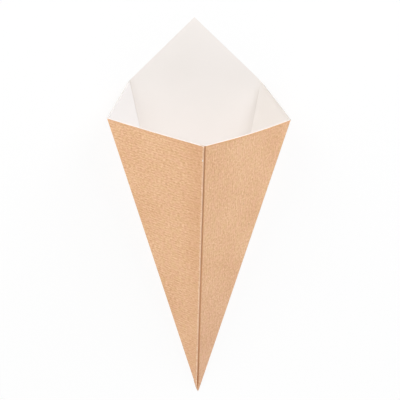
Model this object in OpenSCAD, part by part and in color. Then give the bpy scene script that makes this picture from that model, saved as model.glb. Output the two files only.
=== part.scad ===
// Fries cone, folded from one square sheet of fine fluted board and glued along one seam.
// It lies on its back panel, tip towards -Y, mouth towards +Y. Sizes in mm, angles in degrees.

/* [Sheet] */
// Side of the square sheet, from the tip along the seam
sheet_side = 170; // [120:1:230]
// Thickness of the board
board_t = 0.8; // [0.5:0.05:1.2]

/* [Folds] */
// Half of the back panel's angle at the tip
back_half_angle = 12; // [10:0.25:13]
// Angle of each side panel at the tip
side_angle = 10.5; // [9:0.25:12]
// How far the seam stands up from the back panel
open_angle = 24; // [18:0.5:27]
// Outside radius of the folds at the rim
fold_r = 1.6; // [0.6:0.1:3]
// Outside radius of the fold under the seam
seam_fold_r = 0.8; // [0.5:0.05:1.2]

/* [Seam] */
// How far the left front panel's cut edge stops short of the ridge
seam_gap = 0.4; // [0.2:0.05:0.7]
// Distance from the tip at which the seam closes to a point
seam_start = 6; // [5:0.5:12]
// Width of the glue lap behind the left front panel
lap_w = 12; // [6:0.5:16]
// Distance from the tip to the lap's lower end, along the seam
lap_start = 30; // [26:1:45]
// Distance from the lap's upper end to the rim, along the seam
lap_stop = 6; // [3:0.5:15]
// Slope of the lap's ends
lap_slope = 45; // [20:5:50]

/* [Colours] */
// Colour of the outside
outside_colour = "#dfb68f";
// Colour of the inside
inside_colour = "#f1ece6";

/* [Hidden] */
$fa = 6;
$fs = 0.1;
sheet_half_angle = 45;
front_angle = sheet_half_angle - back_half_angle - side_angle;
sheet_diagonal = sheet_side * sqrt(2);
reach = sheet_diagonal + 4 * lap_w;
clear = board_t;
embed = board_t / 8;
bend_steps = 8;

// Direction at angle a from u and angle b from v, on the side of cross(u, v).
function meet(u, v, a, b) =
    let (c = u * v)
    let (k = 1 - c * c)
    let (w = ((cos(a) - c * cos(b)) * u + (cos(b) - c * cos(a)) * v) / k)
    w + sqrt((1 - w * w) / k) * cross(u, v);

function mirrored(v) = [-v.x, v.y, v.z];
function flat_ray(a) = [sin(a), cos(a)];
function bend_out(a) = [-sin(a), cos(a)];

// Fold lines from the tip: the seam, then round the right, the back and the left to the seam.
seam_ray = [0, cos(open_angle), sin(open_angle)];
back_ray = [sin(back_half_angle), cos(back_half_angle), 0];
front_ray = meet(back_ray, seam_ray, side_angle, front_angle);
rays = [seam_ray, front_ray, back_ray, mirrored(back_ray), mirrored(front_ray), seam_ray];
flat_front = back_half_angle + side_angle;
flat = [sheet_half_angle, flat_front, back_half_angle, -back_half_angle, -flat_front, -sheet_half_angle];
panels = [0:len(rays) - 2];
left_front = len(rays) - 2;

// Axes of the flat sheet, carried to panel i. The panel's inside is towards its Z.
function sheet_x(i) = (rays[i] * cos(flat[i + 1]) - rays[i + 1] * cos(flat[i])) / sin(flat[i] - flat[i + 1]);
function sheet_y(i) = (rays[i + 1] * sin(flat[i]) - rays[i] * sin(flat[i + 1])) / sin(flat[i] - flat[i + 1]);
function inward(i) = cross(sheet_x(i), sheet_y(i));
seam_fold = acos(inward(0) * inward(left_front));

// Puts flat-sheet coordinates on panel i.
module on_panel(i) {
    x = sheet_x(i);
    y = sheet_y(i);
    z = inward(i);
    multmatrix([[x.x, y.x, z.x, 0], [x.y, y.y, z.y, 0], [x.z, y.z, z.z, 0], [0, 0, 0, 1]])
        children();
}

// The flat sheet, its tip corner at the origin.
module sheet() {
    rotate(sheet_half_angle)
        square(sheet_side);
}

// The part of the sheet's plane between two fold lines.
module sector(i) {
    polygon([[0, 0], 2 * reach * flat_ray(flat[i + 1]), 2 * reach * flat_ray(flat[i])]);
}

// Solid pyramid out to the outer faces, folds rounded and the ridge at the seam sharp.
module body() {
    corners = [for (i = panels) [rays[i].x, rays[i].z] * reach / rays[i].y];
    section_r = fold_r * reach / sheet_side;
    translate([0, reach, 0])
        rotate([90, 0, 0])
            linear_extrude(height = reach, scale = 0)
                hull() {
                    offset(r = section_r)
                        offset(delta = -section_r)
                            polygon(corners);
                    polygon([corners[0], (corners[0] + corners[1]) / 2, (corners[0] + corners[4]) / 2]);
                }
}

// The hollow: everything deeper than the board's thickness behind all five panels.
module hollow() {
    intersection_for (i = panels)
        on_panel(i)
            translate([-2 * reach, -2 * reach, board_t])
                cube([4 * reach, 4 * reach, 2 * reach]);
}

// What lies beyond the edges of the sheet.
module off_sheet() {
    for (i = panels)
        on_panel(i)
            translate([0, 0, -clear])
                linear_extrude(clear + 2 * board_t)
                    difference() {
                        sector(i);
                        sheet();
                    }
}

// Glue lap: the right front panel's edge strip, turned in behind the left front panel.
module lap() {
    taper = lap_w * tan(lap_slope);
    top = sheet_side - lap_stop;
    on_panel(left_front)
        rotate(sheet_half_angle)
            translate([0, 0, board_t - embed])
                linear_extrude(board_t + embed)
                    polygon([[0, lap_start], [lap_w, lap_start + taper], [lap_w, top - taper], [0, top]]);
}

// Gap at the seam, between the left front panel's cut edge and the rounded fold beside it.
module seam_groove() {
    fold_x = seam_fold_r * tan(seam_fold / 2) - board_t / tan(seam_fold);
    centre = [fold_x, -board_t - seam_fold_r];
    bend = [for (k = [0:bend_steps]) centre + seam_fold_r * bend_out(seam_fold * k / bend_steps)];
    right_out = bend_out(seam_fold);
    last = centre + seam_fold_r * right_out;
    on_panel(left_front)
        rotate(sheet_half_angle)
            translate([0, 2 * reach, 0])
                rotate([90, 0, 0])
                    linear_extrude(2 * reach - seam_start)
                        mirror([0, 1])
                            polygon(concat(
                                [[seam_gap, clear], [seam_gap, -board_t]],
                                bend,
                                [last + clear * right_out, clear * right_out]
                            ));
}

// Cone: one folded and glued sheet, brown outside and white inside.
module cone() {
    translate([0, -sheet_diagonal / 2, 0])
        difference() {
            union() {
                difference() {
                    color(outside_colour)
                        body();
                    color(inside_colour)
                        hollow();
                    color(inside_colour)
                        off_sheet();
                }
                color(inside_colour)
                    lap();
            }
            color(outside_colour)
                seam_groove();
        }
}

cone();
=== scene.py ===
import math

import bpy
import numpy as np
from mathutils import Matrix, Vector


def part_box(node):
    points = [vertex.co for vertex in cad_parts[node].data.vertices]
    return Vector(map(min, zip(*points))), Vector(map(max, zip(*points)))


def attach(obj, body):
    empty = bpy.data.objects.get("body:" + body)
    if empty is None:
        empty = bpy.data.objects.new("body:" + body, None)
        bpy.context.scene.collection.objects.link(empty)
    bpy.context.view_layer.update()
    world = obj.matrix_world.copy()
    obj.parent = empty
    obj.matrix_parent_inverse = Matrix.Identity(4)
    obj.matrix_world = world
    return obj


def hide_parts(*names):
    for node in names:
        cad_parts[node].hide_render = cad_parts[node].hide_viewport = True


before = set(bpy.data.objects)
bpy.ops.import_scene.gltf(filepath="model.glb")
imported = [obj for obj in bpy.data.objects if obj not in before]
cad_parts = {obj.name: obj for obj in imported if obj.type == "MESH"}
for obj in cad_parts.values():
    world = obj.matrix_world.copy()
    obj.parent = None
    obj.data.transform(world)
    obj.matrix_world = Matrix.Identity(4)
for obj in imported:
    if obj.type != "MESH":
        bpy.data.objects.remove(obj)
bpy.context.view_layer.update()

# A paper fries cone that lies on its back: one sheet of fine fluted board, brown outside and white
# inside, folded to a point and glued along the front seam.

# The sheet, in metres and radians: a square with the tip at one corner, creased along four lines
# that run to the tip.
CONE_LOW, CONE_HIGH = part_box("cone")
SHEET_SIDE = (CONE_HIGH.y - CONE_LOW.y) / math.sqrt(2)
BOARD = 0.0008
HALF_CORNER = math.radians(45)
BACK_LEFT = math.radians(12.06)
BACK_RIGHT = math.radians(11.83)
FRONT_FROM = math.radians(22.5)
OPEN_ANGLE = math.radians(23.96)
FOLD_ANGLES = [-FRONT_FROM, -BACK_LEFT, BACK_RIGHT, FRONT_FROM]
TIP = np.array([0.0, CONE_LOW.y, 0.0])

# The rim's cut is a little off square: how far each rim corner lies out along its line from the tip.
# The corners are the seam's left edge, the left front and back folds, the peak, the right back and
# front folds, and the seam's right edge. The peak also lies a little aside.
RIM_ANGLES = [-HALF_CORNER, -FRONT_FROM, -BACK_LEFT, 0.0, BACK_RIGHT, FRONT_FROM, HALF_CORNER]
RIM_OFF = [0.00097, 0.00035, 0.00015, -0.00247, -0.0011, -0.00065, 0.0012]
PEAK_ASIDE = -0.00122

# Folds: outside radius at the rim, and the softer bend of the right back fold just under the rim.
FRONT_FOLD_R = BOARD
BACK_FOLD_R = 1.5 * BOARD
SOFT_FOLD_R = 0.0075
SOFT_FROM = 0.74
SOFT_GROWTH = 1.5
LEAST_INSIDE_R = 0.15 * BOARD
BEND_STEPS = 6

# Panels, from the left front one round to the right front one: how far each swells out in its
# middle at the rim, and how many steps its mesh has across.
LEFT_FRONT, BACK, RIGHT_FRONT = 0, 2, 4
SWELL = [0.0004, 0.0, 0.0, 0.0002, 0.0016]
ACROSS = [18, 8, 8, 8, 18]
BY_FOLD = 0.75 * BOARD

# Seam: the right front panel is folded hard at the ridge, and its lap goes under the left front
# panel, whose cut edge stops short of the ridge, a little more so at the tip. Between them is a
# narrow slot, with the lap at its bottom. Toward the tip the fold moves a little to the left. The
# lap's top lies lower than the rim, by a share of how deep the lap is.
EDGE_AT_RIM = 0.0006
EDGE_AT_TIP = 0.0012
EDGE_TURN = (EDGE_AT_TIP - EDGE_AT_RIM) / SHEET_SIDE
FOLD_ASIDE = 0.00042
SEAM_FOLD_IN = 0.00085
SEAM_PANEL_STOPS = SEAM_FOLD_IN + 2.5 * BOARD
SLOT_DEPTH = 0.00095
SLOT_WALL = 0.0003
GLUE = 0.00006
LAP_DROP = 0.7
LAP_W = 0.012
LAP_ROOT = 0.0036
LAP_MEETS = 0.007
LAP_START = 0.030
LAP_STOP = 0.006

# The seam's section: lines before the hard fold, in boards, the fold's round crown, the slot's wall
# down to its foot, as steps aside and shares of its depth, and shares of the way across the lap.
BEFORE_FOLD = (1.1, 0.55, 0.32)
CROWN_R = 0.5 * SLOT_WALL
CROWN_CENTRE = np.array([1.0, 0.35]) * CROWN_R
CROWN_TURNS = (-0.7, 0.0, 0.7, 1.3)
WALL_OUT = 0.0002
WALL_LINES = ((-0.0001, 0.6), (0.0, 0.88), (0.00014, 0.98))
LAP_FROM_FOOT = 0.0004
LAP_LINES = np.array([0, 0.12, 0.25, 0.4, 0.55, 0.7, 0.85, 0.96, 1.0])
INNER_CORNER = 0.0003
INNER_CORNER_R = 0.0001
SECTION_FROM = -0.0009

# The left front panel lifts a little along its cut edge, in slow waves up the seam.
SEAM_LIFT = 0.00012
SEAM_LIFT_W = 0.006
LIFT_WAVE = 0.4
LIFT_WAVES = (95, 41)
LIFT_GROWS = 0.05

# The tip: how far up the sheet its layers meet inside, where the inside and the seam end, and how
# blunt the point is. The seam's section shrinks with the sheet where it fades.
LAYERS_MEET = 0.016
INSIDE_ENDS = 0.6 * LAYERS_MEET
SEAM_ENDS = 0.0033
SEAM_FADES = 0.007
BLUNT = 0.0008
CLOSING_ROWS = np.array([1.7, 3.0]) * BLUNT

# Rows of the mesh up the sheet: a few at the tip, then even ones, and some close under the rim.
TIP_ROWS = 8
EVEN_ROWS = 74
EVEN_TO = 0.985 * SHEET_SIDE
RIM_ROWS = np.array([0.99, 0.994, 0.998, 1.0]) * SHEET_SIDE


def flat_ray(a):
    return np.array([math.sin(a), math.cos(a)])


def flat_across(a):
    return np.array([math.cos(a), -math.sin(a)])


def meet(u, v, a, b):
    """Direction at angle a from u and b from v, on the side of cross(u, v)."""
    c = u @ v
    k = 1 - c * c
    w = ((math.cos(a) - c * math.cos(b)) * u + (math.cos(b) - c * math.cos(a)) * v) / k
    return w + math.sqrt((1 - w @ w) / k) * np.cross(u, v)


def unit(v):
    return v / np.linalg.norm(v)


def smooth(t):
    t = np.clip(t, 0, 1)
    return t * t * (3 - 2 * t)


class Panel:
    """A flat panel: where the flat sheet's point (x, y) lies on the folded cone."""

    def __init__(self, origin, x, y):
        self.origin, self.x, self.y = origin, x, y
        self.inward = np.cross(x, y)

    def place(self, flat):
        return self.origin + flat[..., :1] * self.x + flat[..., 1:] * self.y

    def carry(self, direction):
        return direction[0] * self.x + direction[1] * self.y


class Fold:
    """A rounded fold between two panels, along a line of the flat sheet."""

    def __init__(self, left, right, angle, radius):
        self.left, self.right, self.radius = left, right, radius
        self.ray, self.across = flat_ray(angle), flat_across(angle)
        self.slant = math.cos(HALF_CORNER - abs(angle))
        self.turn = math.acos(left.inward @ right.inward)
        self.into = unit(right.carry(self.across) - left.carry(self.across))

    def half_width(self, depth, r):
        return (depth + r) * math.tan(self.turn / 2)

    def place(self, flat, share, depth, r):
        """Points on the bend. share runs from -1 at the left panel to 1 at the right one."""
        corner = self.left.place((flat @ self.ray)[:, None] * self.ray)
        centre = corner + ((depth + r) / math.cos(self.turn / 2))[:, None] * self.into
        a = self.turn * (share + 1) / 2
        inward = math.sin(self.turn - a) * self.left.inward + math.sin(a) * self.right.inward
        return centre - r[:, None] * inward / math.sin(self.turn)


def panel_between(left_ray, right_ray, left_angle, right_angle):
    k = math.sin(right_angle - left_angle)
    x = (right_ray * math.cos(left_angle) - left_ray * math.cos(right_angle)) / k
    y = (left_ray * math.sin(right_angle) - right_ray * math.sin(left_angle)) / k
    return Panel(TIP, x, y)


def fold_cone():
    """The panels from the left front one round to the right front one, and the folds between them."""
    ridge = np.array([0, math.cos(OPEN_ANGLE), math.sin(OPEN_ANGLE)])
    back_left = np.array([*flat_ray(-BACK_LEFT), 0])
    back_right = np.array([*flat_ray(BACK_RIGHT), 0])
    front_left = meet(ridge, back_left, HALF_CORNER - FRONT_FROM, FRONT_FROM - BACK_LEFT)
    front_right = meet(back_right, ridge, FRONT_FROM - BACK_RIGHT, HALF_CORNER - FRONT_FROM)
    rays = [ridge, front_left, back_left, back_right, front_right, ridge]
    angles = [-HALF_CORNER, *FOLD_ANGLES, HALF_CORNER]
    panels = [panel_between(*rays[i : i + 2], *angles[i : i + 2]) for i in range(len(rays) - 1)]

    def front(s):
        return FRONT_FOLD_R * s / SHEET_SIDE

    def back(s):
        return BACK_FOLD_R * s / SHEET_SIDE

    def soft_back(s):
        near_rim = smooth((s / SHEET_SIDE - SOFT_FROM) / (1 - SOFT_FROM))
        return back(s) + SOFT_FOLD_R * near_rim**SOFT_GROWTH

    radii = [front, back, soft_back, front]
    folds = [Fold(*panels[i : i + 2], FOLD_ANGLES[i], radii[i]) for i in range(len(FOLD_ANGLES))]
    return ridge, panels, folds


RIDGE, PANELS, FOLDS = fold_cone()
INTO_LEFT = PANELS[LEFT_FRONT].carry(flat_across(-HALF_CORNER))
INTO_RIGHT = -PANELS[RIGHT_FRONT].carry(flat_across(HALF_CORNER))
LEFTWARD = unit(INTO_LEFT - INTO_RIGHT)


def across_shares(width, count):
    """Shares of the way across a panel, with a line close to each end to keep a fold's shading on it."""
    close = BY_FOLD / width
    return np.concatenate([[0, close], np.linspace(0, 1, count + 1)[1:-1], [1 - close, 1]])


def seam_section(depth, lap_w):
    """The seam cut straight across: lines over the hard fold, down into the slot and along the lap.

    Each is at a distance from the ridge in the left front panel, a depth under it, and a place on the
    flat sheet. lap_w is how wide the lap is in each row."""
    right = np.array([INTO_RIGHT @ INTO_LEFT, INTO_RIGHT @ PANELS[LEFT_FRONT].inward])
    over = [(SEAM_FOLD_IN + boards * BOARD) * right for boards in BEFORE_FOLD]
    centre = over[-1] + CROWN_CENTRE
    over += [centre + CROWN_R * np.array([math.sin(a), -math.cos(a)]) for a in CROWN_TURNS]
    foot = over[-1][0] + WALL_OUT
    over += [np.array([foot + aside, share * SLOT_DEPTH]) for aside, share in WALL_LINES]
    over = np.array(over)
    if depth:
        # The inner face turns close round one corner.
        corner = np.array([INNER_CORNER, SLOT_DEPTH + depth])
        way = np.linspace(0, 1, len(over))[:, None]
        turned = (1 - way) * right + way * np.array([1.0, 0.0])
        over = corner + INNER_CORNER_R * turned * (1 + way)

    # Under the left front panel the lap comes up to its glued face.
    lap_begin = foot + LAP_FROM_FOOT
    p = lap_begin + LAP_LINES * (lap_w[:, None] - lap_begin)
    risen = smooth((p - EDGE_AT_TIP) / (LAP_MEETS - EDGE_AT_TIP))
    lap_depth = SLOT_DEPTH + (BOARD + GLUE - SLOT_DEPTH) * risen
    lap = np.stack([p, lap_depth + depth], -1)
    section = np.concatenate([np.broadcast_to(over, (len(lap_w), *over.shape)), lap], 1)
    length = np.linalg.norm(np.diff(section, axis=1), axis=-1)
    across = SECTION_FROM + np.pad(np.cumsum(length, 1), ((0, 0), (1, 0)))
    return section, across


def lay_sheet(depth, s):
    """Points of the outer face (depth 0) or the inner face (depth of the board), and their flat places.

    s is each row's distance up the sheet's edges from the tip. A row runs from the left edge over the
    diagonal to the lap."""
    left_ray, left_across = flat_ray(-HALF_CORNER), flat_across(-HALF_CORNER)
    right_ray, right_across = flat_ray(HALF_CORNER), flat_across(HALF_CORNER)
    corners = [1 + math.copysign(1 - math.tan(HALF_CORNER - abs(a)), a) for a in RIM_ANGLES]
    shift = np.array([off * flat_ray(a) for off, a in zip(RIM_OFF, RIM_ANGLES)])
    shift[RIM_ANGLES.index(0.0), 0] += PEAK_ASIDE
    grown = (s / SHEET_SIDE) ** 2
    toward_tip = 1 - s / SHEET_SIDE
    near_tip = np.minimum(s / SEAM_FADES, 1)

    def flat_at(v):
        first = np.minimum(v, s)
        q = s[:, None] * left_ray + first[:, None] * left_across + (v - first)[:, None] * right_across
        off = np.stack([np.interp(v / s, corners, shift[:, k]) for k in (0, 1)], 1)
        return q + grown[:, None] * off

    lines = [corners[RIM_ANGLES.index(a)] * s for a in FOLD_ANGLES]
    radius = [f.radius(s) for f in FOLDS]
    if depth:
        radius = [np.maximum(r - depth, LEAST_INSIDE_R) for r in radius]
    width = [f.half_width(depth, r) / f.slant for f, r in zip(FOLDS, radius)]
    edge = EDGE_AT_RIM + (EDGE_AT_TIP - EDGE_AT_RIM) * toward_tip
    begins = [edge] + [v + w for v, w in zip(lines, width)]
    ends = [v - w for v, w in zip(lines, width)] + [2 * s - SEAM_PANEL_STOPS * near_tip]
    places, flats = [], []

    def add_lines(i, v0, v1, shares, out):
        for u in shares:
            v = v0 + (v1 - v0) * u
            q = flat_at(v)
            places.append(PANELS[i].place(q) + (depth - out(u, v))[:, None] * PANELS[i].inward)
            flats.append(q)

    def add_bend(i):
        for share in np.linspace(-1, 1, BEND_STEPS + 1):
            q = flat_at(lines[i] + share * width[i])
            places.append(FOLDS[i].place(q, share, depth, radius[i]))
            flats.append(q)

    def swell(i):
        return lambda u, v: SWELL[i] * math.sin(math.pi * u) * grown

    def swell_and_lift(u, v):
        wave = np.sin(LIFT_WAVES[0] * s) * np.cos(LIFT_WAVES[1] * s)
        lift = SEAM_LIFT * (1 - LIFT_WAVE + LIFT_WAVE * wave) * smooth((s - LAYERS_MEET) / LIFT_GROWS)
        return swell(LEFT_FRONT)(u, v) + lift * np.clip(1 - (v - edge) / SEAM_LIFT_W, 0, 1) ** 2

    for i in range(len(PANELS)):
        shares = across_shares(float(np.mean(ends[i] - begins[i])), ACROSS[i])
        if i == LEFT_FRONT:
            add_lines(i, begins[i], ends[i], shares[:-1], swell_and_lift)
        elif i == BACK:
            # The back has a line up the sheet's diagonal, to its peak.
            add_lines(i, begins[i], s, shares[1:-2], swell(i))
            add_lines(i, s, ends[i], np.append(0, shares[2:-1]), swell(i))
        elif i == RIGHT_FRONT:
            add_lines(i, begins[i], ends[i], shares[1:], swell(i))
        else:
            add_lines(i, begins[i], ends[i], shares[1:-1], swell(i))
        if i < RIGHT_FRONT:
            add_bend(i)

    lap_w = np.clip(np.minimum(s - LAP_START, SHEET_SIDE - LAP_STOP - s), LAP_ROOT, LAP_W)
    section, across = seam_section(depth, lap_w)
    up = s + grown * RIM_OFF[-1]
    for c in range(section.shape[1]):
        p, q = (section[:, c] * near_tip[:, None]).T
        drop = LAP_DROP * np.maximum(q - BOARD, 0) * smooth((p - SLOT_WALL) / SLOT_WALL)
        on_ridge = TIP + (up - drop)[:, None] * RIDGE + (FOLD_ASIDE * toward_tip)[:, None] * LEFTWARD
        places.append(on_ridge + p[:, None] * INTO_LEFT + q[:, None] * PANELS[LEFT_FRONT].inward)
        flats.append((up - drop)[:, None] * right_ray + across[:, c, None] * right_across)
    return np.stack(places, 1), np.stack(flats, 1)


OUTSIDE, INSIDE, CUT_EDGE = 0, 1, 2


def join_faces(rows, cols, skip):
    """Faces of the closed sheet, and the finish of each.

    Point 0 is the outside's tip and point 1 the inside's. Then come the outside's rows and the
    inside's, which begin some rows farther up."""

    def out(r, c):
        return 2 + r * cols + c

    def inn(r, c):
        return 2 + rows * cols + (r - skip) * cols + c if r >= skip else 1

    faces, finish = [], []

    def add(kind, *corners):
        """A face, with corners that fall together taken once."""
        corners = list(dict.fromkeys(corners))
        if len(corners) > 2:
            faces.append(corners)
            finish.append(kind)

    last, end = rows - 1, cols - 1
    for c in range(end):
        add(OUTSIDE, 0, out(0, c), out(0, c + 1))
        for r in range(last):
            add(OUTSIDE, out(r, c), out(r + 1, c), out(r + 1, c + 1), out(r, c + 1))
            add(INSIDE, inn(r, c), inn(r, c + 1), inn(r + 1, c + 1), inn(r + 1, c))
        add(CUT_EDGE, out(last, c), inn(last, c), inn(last, c + 1), out(last, c + 1))
    add(CUT_EDGE, 0, 1, out(0, 0))
    add(CUT_EDGE, 0, out(0, end), 1)
    for r in range(last):
        add(CUT_EDGE, out(r, 0), inn(r, 0), inn(r + 1, 0), out(r + 1, 0))
        add(CUT_EDGE, out(r, end), out(r + 1, end), inn(r + 1, end), inn(r, end))
    return faces, finish


def mark_sharp(mesh):
    """The edges between two finishes are sharp."""
    kinds = {}
    for poly in mesh.polygons:
        for key in poly.edge_keys:
            kinds.setdefault(key, set()).add(poly.material_index)
    sharp = mesh.attributes.new("sharp_edge", "BOOLEAN", "EDGE")
    sharp.data.foreach_set("value", [len(kinds[e.key]) > 1 for e in mesh.edges])


def make_cone():
    inner_rows = np.concatenate([np.linspace(LAYERS_MEET, EVEN_TO, EVEN_ROWS), RIM_ROWS])
    lower_rows = np.linspace(SEAM_ENDS, LAYERS_MEET, TIP_ROWS)[:-1]
    outer_rows = np.concatenate([lower_rows, inner_rows])
    outer, outer_flat = lay_sheet(0.0, outer_rows)
    inner, inner_flat = lay_sheet(BOARD, inner_rows)

    # Below the seam's end the outside closes straight down to a blunt point.
    shrink = CLOSING_ROWS[:, None, None] / SEAM_ENDS
    outer = np.concatenate([TIP + shrink * (outer[0] - TIP), outer])
    outer_flat = np.concatenate([shrink * outer_flat[0], outer_flat])
    outer_rows = np.concatenate([CLOSING_ROWS, outer_rows])
    middle = np.array([0, 1, 0.5 * math.tan(OPEN_ANGLE)])
    ends = np.array([TIP + BLUNT * middle, TIP + INSIDE_ENDS * middle])

    rows, cols = outer.shape[:2]
    points = np.concatenate([ends, outer.reshape(-1, 3), inner.reshape(-1, 3)])
    flat = np.concatenate([np.zeros((2, 2)), outer_flat.reshape(-1, 2), inner_flat.reshape(-1, 2)])
    layer = np.concatenate([[0, 1], np.zeros(rows * cols), np.ones(len(inner_rows) * cols)])
    up = np.concatenate([[0, 0], np.repeat(outer_rows, cols), np.repeat(inner_rows, cols)])
    faces, finish = join_faces(rows, cols, rows - len(inner_rows))

    mesh = bpy.data.meshes.new("paper_cone")
    mesh.from_pydata(points.tolist(), [], faces)
    mesh.polygons.foreach_set("material_index", finish)
    mesh.polygons.foreach_set("use_smooth", [True] * len(faces))
    at = mesh.attributes.new("flat_sheet", "FLOAT_VECTOR", "POINT")
    at.data.foreach_set("vector", np.column_stack([flat, np.zeros(len(flat))]).ravel())
    for name, values in (("board_layer", layer), ("up_sheet", up)):
        at = mesh.attributes.new(name, "FLOAT", "POINT")
        at.data.foreach_set("value", values)
    mark_sharp(mesh)
    mesh.validate()
    cone = bpy.data.objects.new("paper_cone", mesh)
    bpy.context.scene.collection.objects.link(cone)
    return cone


# Node helpers.


def put(tree, socket, value):
    """Gives a socket a number, a colour or another node's output."""
    if isinstance(value, (int, float)):
        socket.default_value = value
    elif isinstance(value, tuple):
        socket.default_value = (*value, 1.0)
    else:
        tree.links.new(value, socket)


def node(tree, kind, **values):
    """A node with its settings and, with in_ before the socket's name, its unlinked inputs."""
    made = tree.nodes.new(kind)
    for key, value in values.items():
        if key.startswith("in_"):
            socket = key[len("in_") :].replace("_", " ")
            made.inputs[int(socket) if socket.isdigit() else socket].default_value = value
        else:
            setattr(made, key, value)
    return made


def attribute(tree, name, output):
    return node(tree, "ShaderNodeAttribute", attribute_name=name).outputs[output]


def math_node(tree, operation, *values):
    made = node(tree, "ShaderNodeMath", operation=operation)
    for socket, value in zip(made.inputs, values):
        put(tree, socket, value)
    return made.outputs[0]


def chain(tree, operation, first, *others):
    """One operation over several values, from the first one on."""
    for value in others:
        first = math_node(tree, operation, first, value)
    return first


def times(tree, *values):
    return chain(tree, "MULTIPLY", *values)


def plus(tree, *values):
    return chain(tree, "ADD", *values)


def largest(tree, *values):
    return chain(tree, "MAXIMUM", *values)


def minus(tree, a, b):
    return math_node(tree, "SUBTRACT", a, b)


def absolute(tree, value):
    return math_node(tree, "ABSOLUTE", value)


def above(tree, value, limit):
    return math_node(tree, "GREATER_THAN", value, limit)


def below(tree, value, limit):
    return math_node(tree, "LESS_THAN", value, limit)


def lean(tree, pattern, amount):
    """A pattern's lean to either side of its middle, times an amount."""
    return times(tree, minus(tree, pattern, 0.5), amount)


def remap(tree, value, low, high, to_low=0.0, to_high=1.0, smooth_step=False):
    kind = "SMOOTHSTEP" if smooth_step else "LINEAR"
    made = node(tree, "ShaderNodeMapRange", interpolation_type=kind)
    tree.links.new(value, made.inputs["Value"])
    for key, v in (("From Min", low), ("From Max", high), ("To Min", to_low), ("To Max", to_high)):
        made.inputs[key].default_value = v
    return made.outputs["Result"]


def mix_colour(tree, share, a, b):
    """A colour between two, by the Mix node's sockets for colours."""
    made = node(tree, "ShaderNodeMix", data_type="RGBA")
    for i, value in ((0, share), (6, a), (7, b)):
        put(tree, made.inputs[i], value)
    return made.outputs[2]


def shade(tree, colour, mask, share, toward):
    """The colour moved a share of the way toward another one where the mask is 1."""
    return mix_colour(tree, times(tree, mask, share), colour, toward)


def linear(*screen):
    """Linear colour from the 0 to 255 values a screen shows."""
    levels = [c / 255 for c in screen]
    return tuple(c / 12.92 if c <= 0.04045 else ((c + 0.055) / 1.055) ** 2.4 for c in levels)


def new_material(name):
    material = bpy.data.materials.new(name)
    material.use_nodes = True
    tree = material.node_tree
    return material, tree, tree.nodes["Principled BSDF"]


def set_shader(tree, shader, colour, roughness, specular):
    put(tree, shader.inputs["Base Color"], colour)
    put(tree, shader.inputs["Roughness"], roughness)
    put(tree, shader.inputs["Specular IOR Level"], specular)


def add_bump(tree, shader, height, relief):
    bump = node(tree, "ShaderNodeBump", in_Strength=1.0, in_Distance=relief)
    tree.links.new(height, bump.inputs["Height"])
    tree.links.new(bump.outputs["Normal"], shader.inputs["Normal"])


# From here on, places on the flat sheet are in millimetres.
MM = 1000.0


def sheet_distance(tree, angle, side=1):
    """Millimetres across the flat sheet from a line out of the tip, to its right, or left for -1."""
    across = side * MM * flat_across(angle)
    dot = node(tree, "ShaderNodeVectorMath", operation="DOT_PRODUCT", in_1=(*across, 0))
    tree.links.new(attribute(tree, "flat_sheet", "Vector"), dot.inputs[0])
    return dot.outputs["Value"]


def up_diagonal(tree):
    """Millimetres up the sheet's diagonal from the tip."""
    return sheet_distance(tree, -math.pi / 2)


def up_sheet(tree):
    """Millimetres up the sheet's edges from the tip."""
    return times(tree, attribute(tree, "up_sheet", "Fac"), MM)


def under_rim(tree):
    """Millimetres down the sheet from the rim."""
    return minus(tree, MM * SHEET_SIDE, up_sheet(tree))


def cut_edge_distance(tree):
    """Millimetres across the flat sheet from the left front panel's cut edge."""
    return minus(tree, sheet_distance(tree, -HALF_CORNER - EDGE_TURN), MM * EDGE_AT_TIP)


def gusset(tree, angles, beyond=0.0):
    """1 on the gusset between two fold lines of the flat sheet, and some millimetres beyond them."""
    past_first = above(tree, sheet_distance(tree, angles[0]), -beyond)
    return times(tree, past_first, below(tree, sheet_distance(tree, angles[1]), beyond))


ON_LEFT_GUSSET = (-FRONT_FROM, -BACK_LEFT)
ON_RIGHT_GUSSET = (BACK_RIGHT, FRONT_FROM)

# The board's grain. Here and below, a pair of places or levels says where a mask begins and where
# it is full, and numbers that follow in the same brackets are the mask's values there. A pair of
# roughnesses is the least and the most. A fibre way is a turn and a shift of the pattern.
RIB_PITCH = 1.6
RIB_WAVER = 0.35
RIB_DASHES = (0.42, 0.62)
RIB_FAINTEST = 0.1
RIGHT_HALF = (-30.0, 30.0)
RIGHT_RIBS_FAINTER = 0.35
FIBRE_WAYS = ((0.15, 0.0), (1.25, 31.0), (2.3, 57.0))
FIBRE_LINE = (0.035, 0.0)
FIBRE_PATCHES = (0.5, 0.62)
PATCH_SHIFT = 9
SPECK_CELLS = 0.19
SPECKED_FROM = 0.6
SPECK_LEAST = 0.03
SPECK_MOST = 0.1
CREASE = (1.1, 0.25)


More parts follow.
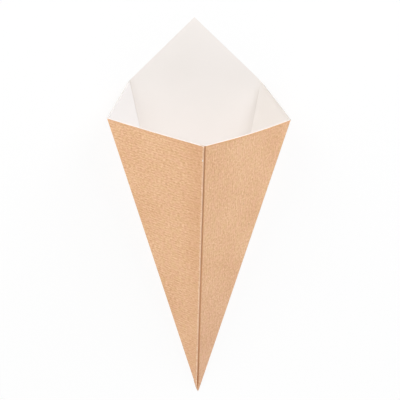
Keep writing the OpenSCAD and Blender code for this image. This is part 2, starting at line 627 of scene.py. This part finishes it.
def make_sheet_grain():
    """What the board shows on either face, laid out on the flat sheet: ribs, mottle, fibres, creases."""
    group = bpy.data.node_groups.new("sheet_grain", "ShaderNodeTree")
    for name, default in (("Rib pitch", RIB_PITCH), ("Waver", RIB_WAVER)):
        socket = group.interface.new_socket(name, in_out="INPUT", socket_type="NodeSocketFloat")
        socket.default_value = default
    for name in ("Ribs", "Mottle", "Fibres", "Drift", "Blotch", "Specks", "Creases"):
        group.interface.new_socket(name, in_out="OUTPUT", socket_type="NodeSocketFloat")
    given = node(group, "NodeGroupInput").outputs
    shown = node(group, "NodeGroupOutput").inputs
    link = group.links.new

    # Millimetres along the ribs, then across them.
    ribwise = node(group, "ShaderNodeMapping", in_Rotation=(0, 0, -HALF_CORNER), in_Scale=(MM, MM, MM))
    link(attribute(group, "flat_sheet", "Vector"), ribwise.inputs["Vector"])
    mm = ribwise.outputs["Vector"]

    def noise(scale, along=1.0, across=1.0, turn=0.0, detail=2.0, rough=0.5, shift=0.0):
        """Clouds on the sheet, drawn out along the ribs where along is under 1."""
        place = node(group, "ShaderNodeMapping", in_Rotation=(0, 0, turn), in_Scale=(along, across, 1))
        place.inputs["Location"].default_value = (shift, shift, 0)
        link(mm, place.inputs["Vector"])
        made = node(group, "ShaderNodeTexNoise", in_Scale=scale, in_Detail=detail, in_Roughness=rough)
        link(place.outputs["Vector"], made.inputs["Vector"])
        return made.outputs[0]

    # Ribs: a fine wave across the sheet, wavering and broken into dashes, fainter on its right half.
    split = node(group, "ShaderNodeSeparateXYZ")
    link(mm, split.inputs[0])
    waver = lean(group, noise(scale=0.35, along=0.35, shift=3.1), given["Waver"])
    turns = math_node(group, "DIVIDE", plus(group, split.outputs["Y"], waver), given["Rib pitch"])
    wave = math_node(group, "SINE", times(group, turns, 2 * math.pi))
    dashes = remap(group, noise(scale=0.55, along=0.36, shift=17.0), *RIB_DASHES, to_low=RIB_FAINTEST)
    right_half = remap(group, sheet_distance(group, 0.0), *RIGHT_HALF)
    fainter = minus(group, 1.0, times(group, right_half, RIGHT_RIBS_FAINTER))
    link(times(group, wave, times(group, dashes, fainter)), shown["Ribs"])

    # Mottle: the cloudy grain of the pulp, about a millimetre across, drawn out along the ribs on the
    # sheet's left half.
    drawn = noise(scale=1.6, along=0.36, detail=1, shift=71.0)
    rounder = noise(scale=1.15, along=0.8, shift=83.0)
    cloudy = noise(scale=0.78, along=0.75, detail=3, rough=0.65, shift=7.0)
    left_half = minus(group, 1.0, right_half)
    fine = plus(group, times(group, drawn, left_half), times(group, rounder, right_half))
    link(plus(group, times(group, fine, 0.5), times(group, cloudy, 0.5)), shown["Mottle"])

    # Fibres: short hairs of pulp, lying three ways.
    hairs = []
    for turn, shift in FIBRE_WAYS:
        streaks = noise(scale=1.6, along=0.22, across=2.4, turn=turn, detail=1, shift=shift)
        line = remap(group, absolute(group, minus(group, streaks, 0.5)), *FIBRE_LINE)
        patches = remap(group, noise(scale=0.5, detail=1, shift=shift + PATCH_SHIFT), *FIBRE_PATCHES)
        hairs.append(times(group, line, patches))
    link(largest(group, *hairs), shown["Fibres"])

    # Drift: patches a few millimetres across that lean to rose or to straw. Blotch: broad patches.
    link(noise(scale=0.24, shift=23.0), shown["Drift"])
    link(noise(scale=0.035, shift=41.0), shown["Blotch"])

    # Specks: a few dark bits of bark.
    cells = node(group, "ShaderNodeTexVoronoi", in_Scale=SPECK_CELLS, in_Randomness=1.0)
    link(mm, cells.inputs["Vector"])
    split_colour = node(group, "ShaderNodeSeparateColor")
    link(cells.outputs["Color"], split_colour.inputs[0])
    pick = split_colour.outputs[0]
    size = remap(group, pick, SPECKED_FROM, 1.0, SPECK_LEAST, SPECK_MOST)
    near = below(group, cells.outputs["Distance"], size)
    link(times(group, near, above(group, pick, SPECKED_FROM)), shown["Specks"])

    # Creases: 1 on the fold lines, fading out over a millimetre.
    creases = []
    for angle in FOLD_ANGLES:
        beside = absolute(group, sheet_distance(group, angle))
        creases.append(remap(group, beside, *CREASE, smooth_step=True))
    link(largest(group, *creases), shown["Creases"])
    return group


def place_grain(tree, grain):
    """The sheet's grain in a material, as its outputs by name."""
    placed = node(tree, "ShaderNodeGroup", node_tree=grain, in_Rib_pitch=RIB_PITCH, in_Waver=RIB_WAVER)
    return placed.outputs


# Colours, as the values a screen shows.
KRAFT = linear(241, 193, 151)
KRAFT_DARK = linear(222, 167, 125)
KRAFT_PALE = linear(254, 214, 173)
KRAFT_LOW = linear(214, 164, 142)
# Fibre brown, also used as painted shade low in the slot.
KRAFT_FIBRE_AND_SLOT_SHADE = linear(198, 143, 103)
KRAFT_ROSE = linear(244, 192, 158)
KRAFT_STRAW = linear(237, 195, 144)
# Painted shade in the slot past the seam's hard fold.
KRAFT_SLOT_SHADE = linear(224, 169, 125)
# Rubbed pale and painted highlight along the left front panel's cut edge.
KRAFT_RUBBED_AND_HIGHLIGHT = linear(255, 226, 197)
BARK = linear(165, 116, 80)
WHITE_LINER = linear(246, 240, 236)
WHITE_SHADE = linear(242, 236, 231)
# Painted shade on the white inside.
PAINTED_SHADE_WHITE = linear(226, 218, 211)
# Painted light on the right gusset.
REFLECTED_LIGHT_WHITE = linear(254, 249, 246)
# Painted cool light on the left gusset.
COOL_LIGHT_WHITE = linear(235, 234, 235)
FLUTES_DARK = linear(240, 222, 203)
FLUTES_PALE = linear(250, 241, 231)
# These two: painted shade on the cut edges of the gussets and of the left front panel.
SHADED_GREY_EDGE = linear(230, 226, 222)
SHADED_DULL_EDGE = linear(206, 200, 194)

# Kraft outside: how much each pattern counts in its tone and its height, its relief in metres, and
# where on the sheet it changes.
KRAFT_RIBS = 0.3
KRAFT_MOTTLE = 3.3
KRAFT_BLOTCH = 0.65
KRAFT_RELIEF = 0.00002
RIB_HEIGHT = 0.4
MOTTLE_HEIGHT = 0.6
FIBRE_HEIGHT = 0.25
TONE_FROM_DARK = (-0.5, 0.0)
TONE_TO_PALE = (0.0, 0.5)
DRIFT_TO_ROSE = (0.5, 0.75)
DRIFT_TO_STRAW = (0.5, 0.25)
MOTTLE_RANGE = (0.3, 0.7)
KRAFT_ROUGHNESS = (0.72, 0.88)
STRONG_MOTTLE_UP = (110.0, 60.0)
STRONG_MOTTLE = 1.3
DARK_UNDER_RIM = (1.5, 0.3)
DARK_LOW_UP = (95.0, 15.0)
DARK_LOW_LEFT = 0.42
OVER_LAP = (1.3 * MM * LAP_W, 0.25 * MM * LAP_W)
OVER_LAP_UP = (40.0, 110.0)
OVER_LAP_LOW = 0.4
RUBBED_HIGHLIGHT_EDGE = (1.1, 0.3)
RUBBED_HIGHLIGHT_MOTTLE = (0.4, 0.58, 0.25, 1.15)
RUBBED_HIGHLIGHT_DRIFT = (0.35, 0.65, 0.5, 1.0)
RUBBED_HIGHLIGHT_UP = (15.0, 170.0, 1.25, 0.8)
NICK_UP = 161.8
NICK_HALF = (0.7, 0.4)
NICK_IN = (0.8, 0.5)
PAST_FOLD = (-0.3, 0.3)
SLOT_SHADE_UP = (60.0, 20.0)


def make_kraft(grain):
    """Outside: matt brown kraft liner, mottled and finely ribbed."""
    material, tree, shader = new_material("kraft_outside")
    board = place_grain(tree, grain)
    up = up_sheet(tree)
    by_edge = cut_edge_distance(tree)
    on_right = above(tree, sheet_distance(tree, FRONT_FROM), 0.0)

    # The mottle is a little stronger low on the right front panel.
    low_right = times(tree, remap(tree, up, *STRONG_MOTTLE_UP), on_right)
    stronger = remap(tree, low_right, 0.0, 1.0, to_low=1.0, to_high=STRONG_MOTTLE)
    mottle = times(tree, lean(tree, board["Mottle"], KRAFT_MOTTLE), stronger)
    ribs = times(tree, board["Ribs"], KRAFT_RIBS)
    tone = plus(tree, ribs, mottle, lean(tree, board["Blotch"], KRAFT_BLOTCH))
    colour = mix_colour(tree, remap(tree, tone, *TONE_FROM_DARK), KRAFT_DARK, KRAFT)
    colour = mix_colour(tree, remap(tree, tone, *TONE_TO_PALE), colour, KRAFT_PALE)
    to_rose = remap(tree, board["Drift"], *DRIFT_TO_ROSE)
    to_straw = remap(tree, board["Drift"], *DRIFT_TO_STRAW)
    colour = shade(tree, colour, to_rose, share=0.5, toward=KRAFT_ROSE)
    colour = shade(tree, colour, to_straw, share=0.5, toward=KRAFT_STRAW)
    colour = shade(tree, colour, board["Fibres"], share=0.3, toward=KRAFT_FIBRE_AND_SLOT_SHADE)
    colour = shade(tree, colour, board["Specks"], share=0.45, toward=BARK)
    colour = shade(tree, colour, board["Creases"], share=0.12, toward=KRAFT_DARK)

    # The liner is a little darker just under the rim, and toward the tip, most on the right front panel.
    by_rim = remap(tree, under_rim(tree), *DARK_UNDER_RIM)
    colour = shade(tree, colour, by_rim, share=0.4, toward=KRAFT_DARK)
    by_panel = remap(tree, on_right, 0.0, 1.0, to_low=DARK_LOW_LEFT)
    low = times(tree, remap(tree, up, *DARK_LOW_UP), by_panel)
    colour = shade(tree, colour, low, share=0.3, toward=KRAFT_LOW)

    # Over the glued lap it is darker too: painted shade beside the seam.
    over_lap_shade = remap(tree, sheet_distance(tree, -HALF_CORNER), *OVER_LAP, smooth_step=True)
    over_lap_shade = times(tree, over_lap_shade, remap(tree, up, *OVER_LAP_UP, to_low=OVER_LAP_LOW))
    colour = shade(tree, colour, over_lap_shade, share=0.28, toward=KRAFT_DARK)

    # Along its cut edge it is rubbed pale, unevenly, and painted lighter as a highlight where the edge
    # catches the light, more so toward the tip. White pulp shows in a nick near the rim.
    rubbed_and_highlight = times(
        tree,
        remap(tree, by_edge, *RUBBED_HIGHLIGHT_EDGE),
        remap(tree, board["Mottle"], *RUBBED_HIGHLIGHT_MOTTLE),
        remap(tree, up, *RUBBED_HIGHLIGHT_UP),
        remap(tree, board["Drift"], *RUBBED_HIGHLIGHT_DRIFT),
    )
    colour = shade(tree, colour, rubbed_and_highlight, share=0.85, toward=KRAFT_RUBBED_AND_HIGHLIGHT)
    from_nick = absolute(tree, minus(tree, up, NICK_UP))
    nick = times(tree, remap(tree, from_nick, *NICK_HALF), remap(tree, by_edge, *NICK_IN))
    colour = shade(tree, colour, nick, share=1.0, toward=WHITE_LINER)

    # Past the hard fold, down in the slot, it is painted dark brown as the slot's shade, darker still
    # toward the tip.
    slot_shade_mask = remap(tree, sheet_distance(tree, HALF_CORNER), *PAST_FOLD)
    colour = shade(tree, colour, slot_shade_mask, share=1.0, toward=KRAFT_SLOT_SHADE)
    low_slot_shade = times(tree, slot_shade_mask, remap(tree, up, *SLOT_SHADE_UP))
    colour = shade(tree, colour, low_slot_shade, share=0.7, toward=KRAFT_FIBRE_AND_SLOT_SHADE)

    roughness = remap(tree, board["Mottle"], *MOTTLE_RANGE, *KRAFT_ROUGHNESS)
    set_shader(tree, shader, colour, roughness, specular=0.25)
    rib_height = times(tree, board["Ribs"], RIB_HEIGHT)
    mottle_height = times(tree, board["Mottle"], MOTTLE_HEIGHT)
    fibre_height = times(tree, board["Fibres"], FIBRE_HEIGHT)
    add_bump(tree, shader, plus(tree, rib_height, mottle_height, fibre_height), KRAFT_RELIEF)
    return material


# White inside: the same for it. The tops are how far up the sheet's diagonal the left back fold and
# the peak meet the rim.
WHITE_RIBS = 0.04
WHITE_MOTTLE = 0.5
WHITE_BLOTCH = 1.0
WHITE_RELIEF = 0.000012
WHITE_RIB_HEIGHT = 0.3
WHITE_MOTTLE_HEIGHT = 0.4
WHITE_TONES = (-0.5, 0.5)
WHITE_ROUGHNESS = (0.5, 0.62)
FOLD_TOP = MM * SHEET_SIDE * math.cos(BACK_LEFT) / math.cos(HALF_CORNER - BACK_LEFT)
PEAK_TOP = MM * math.sqrt(2) * SHEET_SIDE
FOLD_SHADE = (4.5, 0.2)
FOLD_SHADE_STRENGTH = 0.3
FOLD_SHADE_CORE = (1.2, 0.4)
LEFT_FOLD_SHADE_CORE = 3.3
RIGHT_FOLD_SHADE_CORE = 2.3
LEFT_FOLD_SHADE_FROM = -0.2
FOLD_SHADE_UP = (0.84 * FOLD_TOP, 0.96 * FOLD_TOP)
FOLD_SHADE_LOW = 0.5
RIGHT_FOLD_SHADE_FADES = (0.985 * FOLD_TOP, 0.965 * FOLD_TOP)
RIGHT_FOLD_SHADE_LEAST = 0.1
LEFT_BAND = (16.0, 5.0)
LEFT_BAND_BY_FOLD = (0.3, 4.0, 0.5, 1.0)
LEFT_BAND_UP = (0.97 * FOLD_TOP, 0.88 * FOLD_TOP)
RIGHT_BAND = (9.0, 3.0)
RIGHT_BAND_BY_FOLD = (0.3, 2.0, 0.1, 1.0)
RIGHT_BAND_UP = (0.96 * FOLD_TOP, 0.9 * FOLD_TOP)
GREY_POINT_UP = (0.82 * PEAK_TOP, 0.92 * PEAK_TOP)
GREY_UNDER_RIM = (3.0, 0.0)
PALE_UNDER_RIM = (4.0, 19.0)
PALE_BY_FOLD = (-4.0, -22.0, 1.0, 0.1)


def make_white(grain):
    """Inside: smooth white liner with the ribs barely showing through."""
    material, tree, shader = new_material("white_inside")
    board = place_grain(tree, grain)
    mottle = lean(tree, board["Mottle"], WHITE_MOTTLE)
    blotch = lean(tree, board["Blotch"], WHITE_BLOTCH)
    tone = plus(tree, mottle, blotch, times(tree, board["Ribs"], WHITE_RIBS))
    colour = mix_colour(tree, remap(tree, tone, *WHITE_TONES), WHITE_SHADE, WHITE_LINER)
    # Painted shade in the hollows of the inside folds.
    colour = shade(tree, colour, board["Creases"], share=0.02, toward=PAINTED_SHADE_WHITE)

    # Painted shade: the back panel is a little grey along the folds, where shade falls in their hollows.
    # On the right this shade fades out under the rim. Farther down, a broad band of painted shade lies
    # beside each fold.
    up = up_diagonal(tree)
    by_left = sheet_distance(tree, -BACK_LEFT)
    by_right = sheet_distance(tree, BACK_RIGHT, side=-1)

    def fold_shade(by, begins, core):
        return times(
            tree,
            remap(tree, by, *FOLD_SHADE, to_high=FOLD_SHADE_STRENGTH),
            above(tree, by, begins),
            remap(tree, by, *FOLD_SHADE_CORE, to_low=1.0, to_high=core),
            remap(tree, up, *FOLD_SHADE_UP, to_low=FOLD_SHADE_LOW),
        )

    def shade_band(by, reach, by_fold, going_down):
        return times(
            tree,
            remap(tree, by, *reach),
            remap(tree, by, *by_fold),
            above(tree, by, 0.0),
            remap(tree, up, *going_down),
        )

    left_fold_shade = fold_shade(by_left, LEFT_FOLD_SHADE_FROM, LEFT_FOLD_SHADE_CORE)
    right_fade = remap(tree, up, *RIGHT_FOLD_SHADE_FADES, to_low=RIGHT_FOLD_SHADE_LEAST)
    right_fold_shade = times(tree, fold_shade(by_right, 0.0, RIGHT_FOLD_SHADE_CORE), right_fade)
    right_shade_band = shade_band(by_right, RIGHT_BAND, RIGHT_BAND_BY_FOLD, RIGHT_BAND_UP)
    left_shade_band = shade_band(by_left, LEFT_BAND, LEFT_BAND_BY_FOLD, LEFT_BAND_UP)
    colour = shade(tree, colour, left_fold_shade, share=1.0, toward=PAINTED_SHADE_WHITE)
    colour = shade(tree, colour, right_fold_shade, share=1.0, toward=PAINTED_SHADE_WHITE)
    colour = shade(tree, colour, right_shade_band, share=0.22, toward=PAINTED_SHADE_WHITE)
    colour = shade(tree, colour, left_shade_band, share=0.19, toward=PAINTED_SHADE_WHITE)

    # Toward its point the back panel is a little greyer: painted shade, where less light bounces in.
    colour = shade(tree, colour, remap(tree, up, *GREY_POINT_UP), share=0.1, toward=PAINTED_SHADE_WHITE)

    # The left gusset is painted a cooler white, standing in for the cool light that falls on it. The
    # right one has painted shade just under its rim, and farther down painted light, as light reflected
    # off the opposite wall.
    colour = shade(tree, colour, gusset(tree, ON_LEFT_GUSSET), share=0.3, toward=COOL_LIGHT_WHITE)
    on_right = gusset(tree, ON_RIGHT_GUSSET)
    from_rim = under_rim(tree)
    rim_shade = times(tree, on_right, remap(tree, from_rim, *GREY_UNDER_RIM))
    colour = shade(tree, colour, rim_shade, share=0.36, toward=PAINTED_SHADE_WHITE)
    reflected_light = times(tree, remap(tree, from_rim, *PALE_UNDER_RIM), remap(tree, by_right, *PALE_BY_FOLD))
    colour = shade(tree, colour, times(tree, on_right, reflected_light), share=0.26, toward=REFLECTED_LIGHT_WHITE)

    roughness = remap(tree, board["Mottle"], *MOTTLE_RANGE, *WHITE_ROUGHNESS)
    set_shader(tree, shader, colour, roughness, specular=0.3)
    rib_height = times(tree, board["Ribs"], WHITE_RIB_HEIGHT)
    mottle_height = times(tree, board["Mottle"], WHITE_MOTTLE_HEIGHT)
    add_bump(tree, shader, plus(tree, rib_height, mottle_height), WHITE_RELIEF)
    return material


# Cut edges: where the board's layers end, from 0 at its brown face to 1 at its white one.
LAYER_WAVE = 0.04
BROWN_LAYER = (0.1, 0.16)
WHITE_LAYER = (0.55, 0.7)
GUSSET_EDGE_BEYOND = 0.6
GLUED_EDGE = (0.5, 0.1)
EDGE_RELIEF = 0.00003


def make_cut_edge(grain):
    """Cut edges: brown liner, pale fluted middle and white liner, side by side."""
    material, tree, shader = new_material("cut_edge")
    board = place_grain(tree, grain)
    layer = attribute(tree, "board_layer", "Fac")
    waved = plus(tree, layer, times(tree, board["Ribs"], LAYER_WAVE))
    flutes = mix_colour(tree, board["Mottle"], FLUTES_DARK, FLUTES_PALE)
    colour = mix_colour(tree, remap(tree, waved, *BROWN_LAYER), KRAFT_DARK, flutes)
    colour = mix_colour(tree, remap(tree, waved, *WHITE_LAYER), colour, WHITE_LINER)

    # Painted shade: the gussets' edges are a dull grey white, darker on the right, and the left front
    # panel's is a little grey.
    left_gusset = gusset(tree, ON_LEFT_GUSSET, GUSSET_EDGE_BEYOND)
    right_gusset = gusset(tree, ON_RIGHT_GUSSET, GUSSET_EDGE_BEYOND)
    left_front = below(tree, sheet_distance(tree, -FRONT_FROM), 0.0)
    colour = shade(tree, colour, left_gusset, share=0.85, toward=SHADED_GREY_EDGE)
    colour = shade(tree, colour, right_gusset, share=0.85, toward=SHADED_DULL_EDGE)
    colour = shade(tree, colour, left_front, share=0.4, toward=SHADED_GREY_EDGE)

    # Along the seam the edge is brown with glue.
    by_seam = remap(tree, cut_edge_distance(tree), *GLUED_EDGE)
    colour = shade(tree, colour, by_seam, share=0.8, toward=KRAFT_PALE)
    set_shader(tree, shader, colour, roughness=0.9, specular=0.2)
    add_bump(tree, shader, plus(tree, board["Mottle"], board["Fibres"]), EDGE_RELIEF)
    return material


cone = make_cone()
grain = make_sheet_grain()
for material in (make_kraft(grain), make_white(grain), make_cut_edge(grain)):
    cone.data.materials.append(material)
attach(cone, "root")
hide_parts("cone")


# Stage: a white floor that keeps the cone's soft shadow, soft light and the photograph's camera.
FLOOR_HALF = 20.0
FLOOR_DROP = 0.0001
FLOOR_WHITE = (0.96, 0.96, 0.96)
FLOOR_GLOW = 0.88
WORLD_LIGHT = 0.29
WHITE = (1, 1, 1, 1)
LIT_POINT = Vector((0, 0.02, 0.03))
COOL = (0.968, 1.0, 1.045)
WARM = (1.016, 1.0, 0.965)
SLIGHTLY_COOL = (0.995, 1.0, 1.02)
SENSOR_MM = 36
LENS_MM = 70
NEAREST_SEEN = 0.01
CAMERA_AT = (-0.02995, 0.0316, 0.49064)
CAMERA_TURN = Vector([math.radians(a) for a in (-3.278, -3.714, -0.351)])


def seen_directly(tree):
    """1 for what the camera, a reflection or glass sees, and 0 for the light that falls on the cone."""
    path = node(tree, "ShaderNodeLightPath").outputs
    return largest(tree, path["Is Camera Ray"], path["Is Glossy Ray"], path["Is Transmission Ray"])


def mix_shaders(tree, share, first, second, output):
    mixed = node(tree, "ShaderNodeMixShader")
    for socket, value in zip(mixed.inputs, (share, first.outputs[0], second.outputs[0])):
        tree.links.new(value, socket)
    tree.links.new(mixed.outputs[0], tree.nodes[output].inputs["Surface"])


def make_floor():
    mesh = bpy.data.meshes.new("floor")
    corners = [(x * FLOOR_HALF, y * FLOOR_HALF, 0) for x, y in ((-1, -1), (1, -1), (1, 1), (-1, 1))]
    mesh.from_pydata(corners, [], [(0, 1, 2, 3)])
    floor = bpy.data.objects.new("floor", mesh)
    floor.location.z = -FLOOR_DROP
    bpy.context.scene.collection.objects.link(floor)
    material, tree, shader = new_material("white_floor")
    set_shader(tree, shader, FLOOR_WHITE, roughness=0.9, specular=0.1)
    glow = node(tree, "ShaderNodeEmission", in_Color=WHITE, in_Strength=1.0)
    mix_shaders(tree, times(tree, seen_directly(tree), FLOOR_GLOW), shader, glow, "Material Output")
    mesh.materials.append(material)


def make_world():
    world = bpy.data.worlds.new("studio")
    bpy.context.scene.world = world
    world.use_nodes = True
    tree = world.node_tree
    light = tree.nodes["Background"]
    light.inputs["Color"].default_value = WHITE
    light.inputs["Strength"].default_value = WORLD_LIGHT
    backdrop = node(tree, "ShaderNodeBackground", in_Color=WHITE, in_Strength=1.0)
    mix_shaders(tree, seen_directly(tree), light, backdrop, "World Output")


def make_lamp(name, place, size, power, colour=(1, 1, 1)):
    lamp = bpy.data.lights.new(name, "AREA")
    lamp.shape = "DISK"
    lamp.size = size
    lamp.energy = power
    lamp.color = colour
    made = bpy.data.objects.new(name, lamp)
    made.location = place
    made.rotation_mode = "QUATERNION"
    made.rotation_quaternion = (LIT_POINT - Vector(place)).to_track_quat("-Z", "Y")
    bpy.context.scene.collection.objects.link(made)


def make_camera():
    camera = bpy.data.cameras.new("camera")
    camera.sensor_width = SENSOR_MM
    camera.lens = LENS_MM
    camera.clip_start = NEAREST_SEEN
    made = bpy.data.objects.new("camera", camera)
    made.location = CAMERA_AT
    made.rotation_mode = "AXIS_ANGLE"
    made.rotation_axis_angle = (CAMERA_TURN.length, *CAMERA_TURN.normalized())
    bpy.context.scene.collection.objects.link(made)
    bpy.context.scene.camera = made


make_floor()
make_world()
make_lamp("key", place=(0.5, 0.55, 0.6), size=0.6, power=3.15, colour=COOL)
make_lamp("mouth_light", place=(0.8, 0.85, 0.4), size=0.8, power=3.65, colour=COOL)
make_lamp("second", place=(-0.5, 0.55, 0.6), size=0.6, power=3.25, colour=WARM)
make_lamp("left_fill", place=(-1.1, 0.2, 0.4), size=0.8, power=2.1, colour=WARM)
make_lamp("right_fill", place=(1.1, 0.2, 0.4), size=0.8, power=0.45)
make_lamp("front_fill", place=(0.0, -1.0, 0.8), size=0.9, power=5.35, colour=SLIGHTLY_COOL)
make_camera()
bpy.context.scene.view_settings.view_transform = "Standard"
